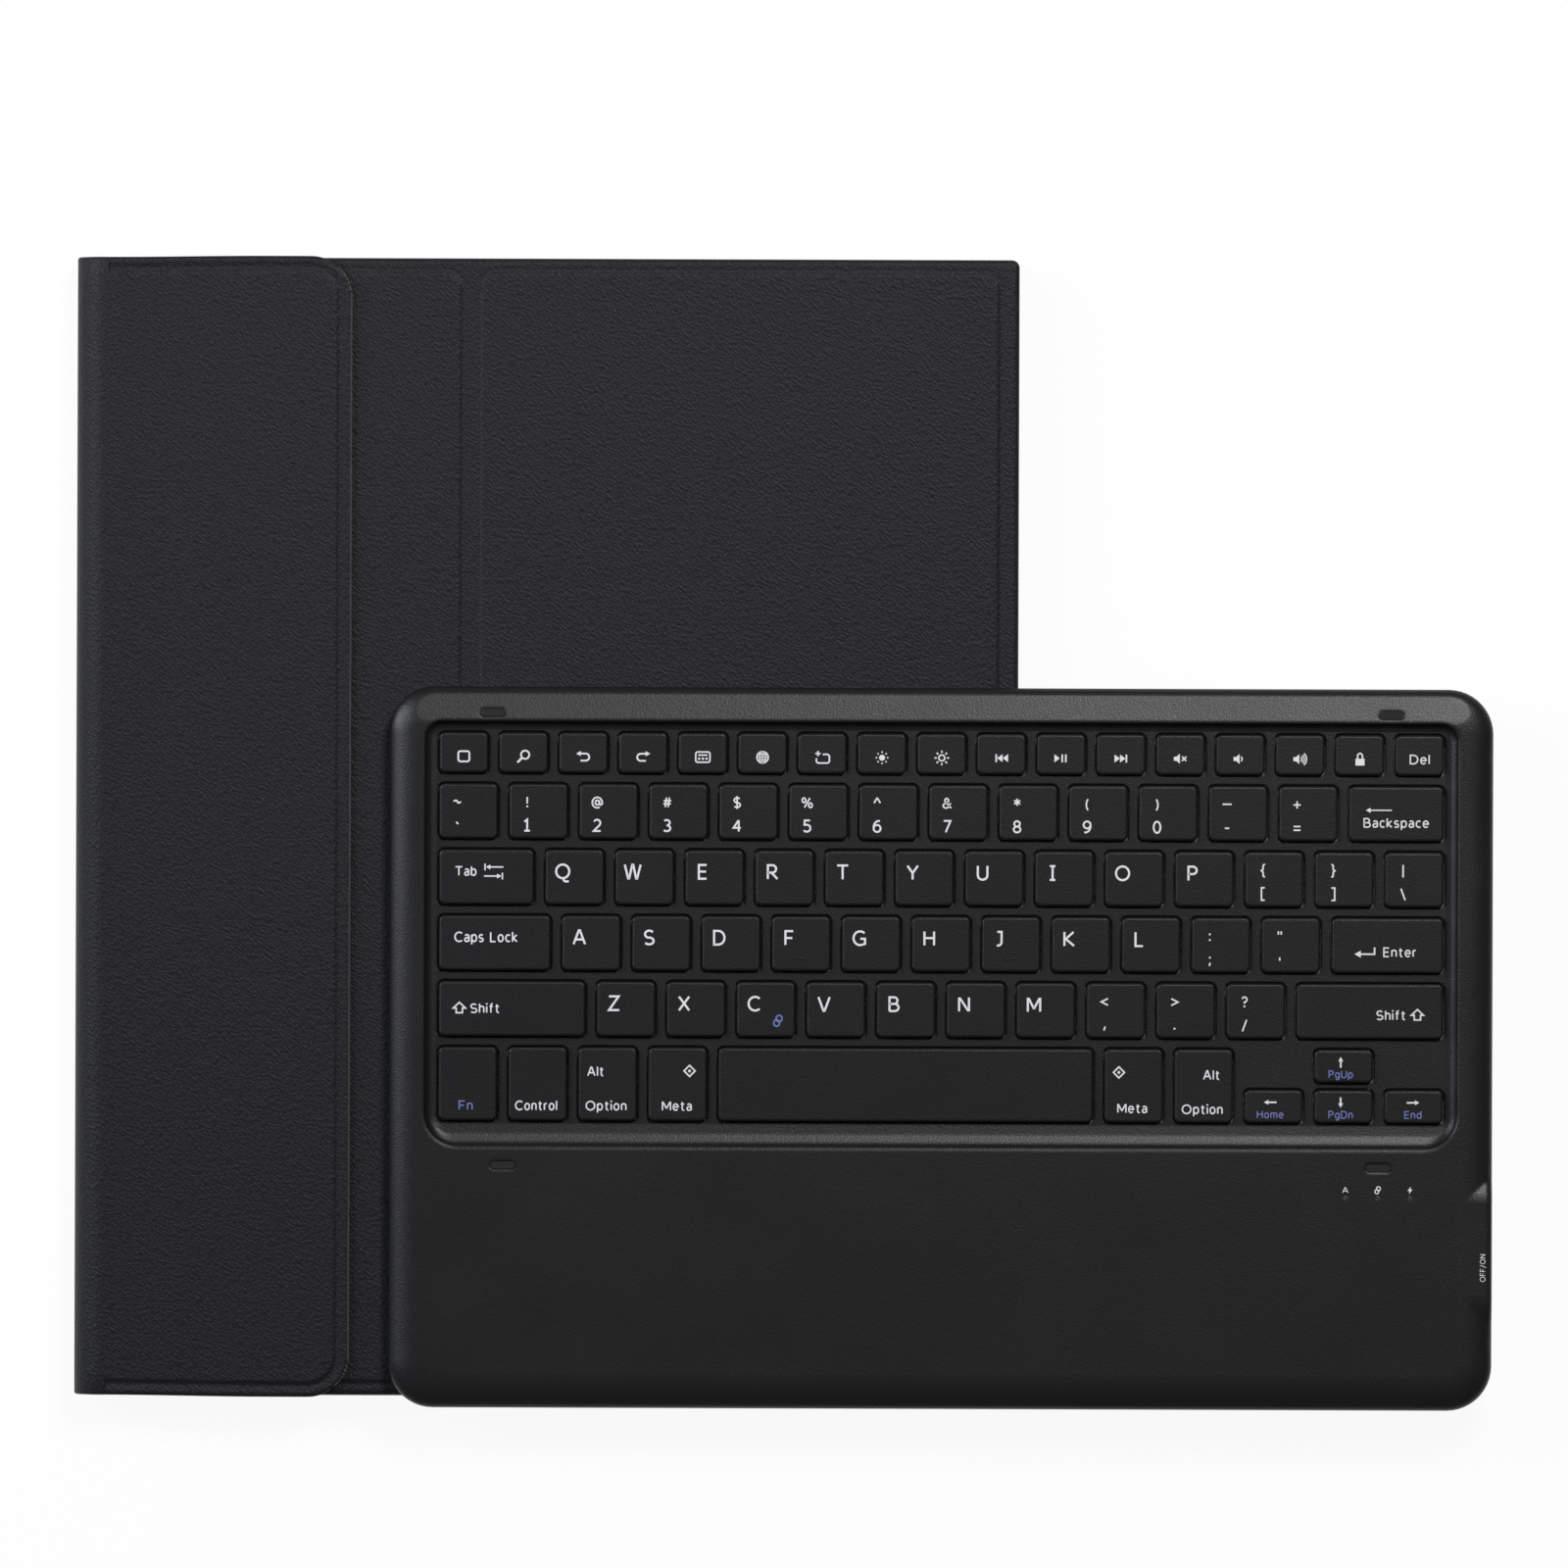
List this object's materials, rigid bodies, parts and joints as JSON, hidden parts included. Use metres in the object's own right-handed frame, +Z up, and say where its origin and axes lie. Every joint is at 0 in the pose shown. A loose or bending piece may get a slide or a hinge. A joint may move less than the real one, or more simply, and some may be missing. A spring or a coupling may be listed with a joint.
{
  "type": "tablet keyboard case",
  "caption": "Black leather folio for a large tablet, closed flat, with a soft spine, a magnetic flap and a detached wireless keyboard lying across it.",
  "frame": {"origin": "centre of the closed folio's bottom face, which rests on the table", "axes": "+X from the spine to the free edge, +Y to the far end of the folio, +Z up through the covers"},
  "size_m": [0.3601, 0.2922, 0.0224],
  "materials": {
    "leather": "pebbled black PU leather",
    "lining": "black microfibre",
    "greyboard": "pressed paper board",
    "magnet": "plated magnet",
    "steel": "plain steel",
    "tray_plastic": "satin black plastic",
    "case_plastic": "fine matte black plastic",
    "key_plastic": "fine textured black plastic with white legends",
    "knob_plastic": "matte black plastic",
    "rubber": "black rubber",
    "membrane": "clear printed film",
    "circuit_board": "green solder mask",
    "battery_foil": "foil pouch",
    "port_metal": "plated shell",
    "lens": "smoked light pipe"
  },
  "bodies": {
    "front_cover": {"front_cover_skin": "leather", "front_cover_board": "greyboard", "front_cover_magnets": "magnet", "front_cover_lining": "lining", "spine_skin": "leather", "spine_lining": "lining"},
    "rear_cover": {"rear_cover_skin": "leather", "strut_board": "greyboard", "carrier_board": "greyboard", "latch_plates": "steel", "rear_cover_lining": "lining", "tablet_tray": "tray_plastic"},
    "flap": {"flap_skin": "leather", "flap_board": "greyboard", "flap_magnets": "magnet", "flap_lining": "lining"},
    "keyboard": {"keyboard_top_case": "case_plastic", "keyboard_bottom_cover": "case_plastic", "case_screws": "steel", "keyboard_feet": "rubber", "keyboard_magnets": "magnet", "key_support_plate": "steel", "membrane_sheet": "membrane", "rubber_domes": "rubber", "controller_board": "circuit_board", "battery_cell": "battery_foil", "power_switch_body": "steel", "charging_port": "port_metal", "indicator_lenses": "lens", "screen_bumpers": "rubber"},
    "power_switch": {"power_switch_knob": "knob_plastic"},
    "system_keys": {"system_keys": "key_plastic"},
    "brightness_keys": {"brightness_keys": "key_plastic"},
    "media_keys": {"media_keys": "key_plastic"},
    "volume_keys": {"volume_keys": "key_plastic"},
    "lock_key": {"lock_key": "key_plastic"},
    "delete_key": {"delete_key": "key_plastic"},
    "number_keys": {"number_keys": "key_plastic"},
    "backspace_key": {"backspace_key": "key_plastic"},
    "tab_key": {"tab_key": "key_plastic"},
    "upper_letter_keys": {"upper_letter_keys": "key_plastic"},
    "caps_lock_key": {"caps_lock_key": "key_plastic"},
    "home_letter_keys": {"home_letter_keys": "key_plastic"},
    "enter_key": {"enter_key": "key_plastic"},
    "left_shift_key": {"left_shift_key": "key_plastic"},
    "lower_letter_keys": {"lower_letter_keys": "key_plastic"},
    "right_shift_key": {"right_shift_key": "key_plastic"},
    "fn_key": {"fn_key": "key_plastic"},
    "control_key": {"control_key": "key_plastic"},
    "left_alt_key": {"left_alt_key": "key_plastic"},
    "left_meta_key": {"left_meta_key": "key_plastic"},
    "space_key": {"space_key": "key_plastic"},
    "right_meta_key": {"right_meta_key": "key_plastic"},
    "right_alt_key": {"right_alt_key": "key_plastic"},
    "arrow_left_key": {"arrow_left_key": "key_plastic"},
    "arrow_up_key": {"arrow_up_key": "key_plastic"},
    "arrow_down_key": {"arrow_down_key": "key_plastic"},
    "arrow_right_key": {"arrow_right_key": "key_plastic"}
  },
  "joints": [
    {"name": "cover_open", "type": "hinge", "parent": "front_cover", "child": "rear_cover", "pos_m": [-0.11165, 0, 0.0081], "axis": [0, -1, 0], "range_deg": [0, 140], "deforming": ["spine_skin", "spine_lining"]},
    {"name": "flap_lift", "type": "hinge", "parent": "rear_cover", "child": "flap", "pos_m": [-0.11145, 0, 0.016], "axis": [0, 1, 0], "range_deg": [-150, 0]},
    {"name": "keyboard_lift", "type": "slide", "parent": "rear_cover", "child": "keyboard", "axis": [0, 0, -1], "range_m": [-0.1, 0]},
    {"name": "power_switch_slide", "type": "slide", "parent": "keyboard", "child": "power_switch", "axis": [0, 1, 0], "range_m": [0, 0.0025]},
    {"name": "system_press", "type": "slide", "parent": "keyboard", "child": "system_keys", "axis": [0, 0, -1], "range_m": [0, 0.0015], "stiffness_N_per_m": 1750, "springref_m": -0.001, "deforming": ["rubber_domes"]},
    {"name": "brightness_press", "type": "slide", "parent": "keyboard", "child": "brightness_keys", "axis": [0, 0, -1], "range_m": [0, 0.0015], "stiffness_N_per_m": 500, "springref_m": -0.001, "deforming": ["rubber_domes"]},
    {"name": "media_press", "type": "slide", "parent": "keyboard", "child": "media_keys", "axis": [0, 0, -1], "range_m": [0, 0.0015], "stiffness_N_per_m": 750, "springref_m": -0.001, "deforming": ["rubber_domes"]},
    {"name": "volume_press", "type": "slide", "parent": "keyboard", "child": "volume_keys", "axis": [0, 0, -1], "range_m": [0, 0.0015], "stiffness_N_per_m": 750, "springref_m": -0.001, "deforming": ["rubber_domes"]},
    {"name": "lock_press", "type": "slide", "parent": "keyboard", "child": "lock_key", "axis": [0, 0, -1], "range_m": [0, 0.0015], "stiffness_N_per_m": 250, "springref_m": -0.001, "deforming": ["rubber_domes"]},
    {"name": "delete_press", "type": "slide", "parent": "keyboard", "child": "delete_key", "axis": [0, 0, -1], "range_m": [0, 0.0015], "stiffness_N_per_m": 250, "springref_m": -0.001, "deforming": ["rubber_domes"]},
    {"name": "number_press", "type": "slide", "parent": "keyboard", "child": "number_keys", "axis": [0, 0, -1], "range_m": [0, 0.0015], "stiffness_N_per_m": 3250, "springref_m": -0.001, "deforming": ["rubber_domes"]},
    {"name": "backspace_press", "type": "slide", "parent": "keyboard", "child": "backspace_key", "axis": [0, 0, -1], "range_m": [0, 0.0015], "stiffness_N_per_m": 250, "springref_m": -0.001, "deforming": ["rubber_domes"]},
    {"name": "tab_press", "type": "slide", "parent": "keyboard", "child": "tab_key", "axis": [0, 0, -1], "range_m": [0, 0.0015], "stiffness_N_per_m": 250, "springref_m": -0.001, "deforming": ["rubber_domes"]},
    {"name": "upper_letter_press", "type": "slide", "parent": "keyboard", "child": "upper_letter_keys", "axis": [0, 0, -1], "range_m": [0, 0.0015], "stiffness_N_per_m": 3250, "springref_m": -0.001, "deforming": ["rubber_domes"]},
    {"name": "caps_lock_press", "type": "slide", "parent": "keyboard", "child": "caps_lock_key", "axis": [0, 0, -1], "range_m": [0, 0.0015], "stiffness_N_per_m": 250, "springref_m": -0.001, "deforming": ["rubber_domes"]},
    {"name": "home_letter_press", "type": "slide", "parent": "keyboard", "child": "home_letter_keys", "axis": [0, 0, -1], "range_m": [0, 0.0015], "stiffness_N_per_m": 2750, "springref_m": -0.001, "deforming": ["rubber_domes"]},
    {"name": "enter_press", "type": "slide", "parent": "keyboard", "child": "enter_key", "axis": [0, 0, -1], "range_m": [0, 0.0015], "stiffness_N_per_m": 250, "springref_m": -0.001, "deforming": ["rubber_domes"]},
    {"name": "left_shift_press", "type": "slide", "parent": "keyboard", "child": "left_shift_key", "axis": [0, 0, -1], "range_m": [0, 0.0015], "stiffness_N_per_m": 250, "springref_m": -0.001, "deforming": ["rubber_domes"]},
    {"name": "lower_letter_press", "type": "slide", "parent": "keyboard", "child": "lower_letter_keys", "axis": [0, 0, -1], "range_m": [0, 0.0015], "stiffness_N_per_m": 2500, "springref_m": -0.001, "deforming": ["rubber_domes"]},
    {"name": "right_shift_press", "type": "slide", "parent": "keyboard", "child": "right_shift_key", "axis": [0, 0, -1], "range_m": [0, 0.0015], "stiffness_N_per_m": 250, "springref_m": -0.001, "deforming": ["rubber_domes"]},
    {"name": "fn_press", "type": "slide", "parent": "keyboard", "child": "fn_key", "axis": [0, 0, -1], "range_m": [0, 0.0015], "stiffness_N_per_m": 250, "springref_m": -0.001, "deforming": ["rubber_domes"]},
    {"name": "control_press", "type": "slide", "parent": "keyboard", "child": "control_key", "axis": [0, 0, -1], "range_m": [0, 0.0015], "stiffness_N_per_m": 250, "springref_m": -0.001, "deforming": ["rubber_domes"]},
    {"name": "left_alt_press", "type": "slide", "parent": "keyboard", "child": "left_alt_key", "axis": [0, 0, -1], "range_m": [0, 0.0015], "stiffness_N_per_m": 250, "springref_m": -0.001, "deforming": ["rubber_domes"]},
    {"name": "left_meta_press", "type": "slide", "parent": "keyboard", "child": "left_meta_key", "axis": [0, 0, -1], "range_m": [0, 0.0015], "stiffness_N_per_m": 250, "springref_m": -0.001, "deforming": ["rubber_domes"]},
    {"name": "space_press", "type": "slide", "parent": "keyboard", "child": "space_key", "axis": [0, 0, -1], "range_m": [0, 0.0015], "stiffness_N_per_m": 250, "springref_m": -0.001, "deforming": ["rubber_domes"]},
    {"name": "right_meta_press", "type": "slide", "parent": "keyboard", "child": "right_meta_key", "axis": [0, 0, -1], "range_m": [0, 0.0015], "stiffness_N_per_m": 250, "springref_m": -0.001, "deforming": ["rubber_domes"]},
    {"name": "right_alt_press", "type": "slide", "parent": "keyboard", "child": "right_alt_key", "axis": [0, 0, -1], "range_m": [0, 0.0015], "stiffness_N_per_m": 250, "springref_m": -0.001, "deforming": ["rubber_domes"]},
    {"name": "arrow_left_press", "type": "slide", "parent": "keyboard", "child": "arrow_left_key", "axis": [0, 0, -1], "range_m": [0, 0.0015], "stiffness_N_per_m": 250, "springref_m": -0.001, "deforming": ["rubber_domes"]},
    {"name": "arrow_up_press", "type": "slide", "parent": "keyboard", "child": "arrow_up_key", "axis": [0, 0, -1], "range_m": [0, 0.0015], "stiffness_N_per_m": 250, "springref_m": -0.001, "deforming": ["rubber_domes"]},
    {"name": "arrow_down_press", "type": "slide", "parent": "keyboard", "child": "arrow_down_key", "axis": [0, 0, -1], "range_m": [0, 0.0015], "stiffness_N_per_m": 250, "springref_m": -0.001, "deforming": ["rubber_domes"]},
    {"name": "arrow_right_press", "type": "slide", "parent": "keyboard", "child": "arrow_right_key", "axis": [0, 0, -1], "range_m": [0, 0.0015], "stiffness_N_per_m": 250, "springref_m": -0.001, "deforming": ["rubber_domes"]}
  ]
}
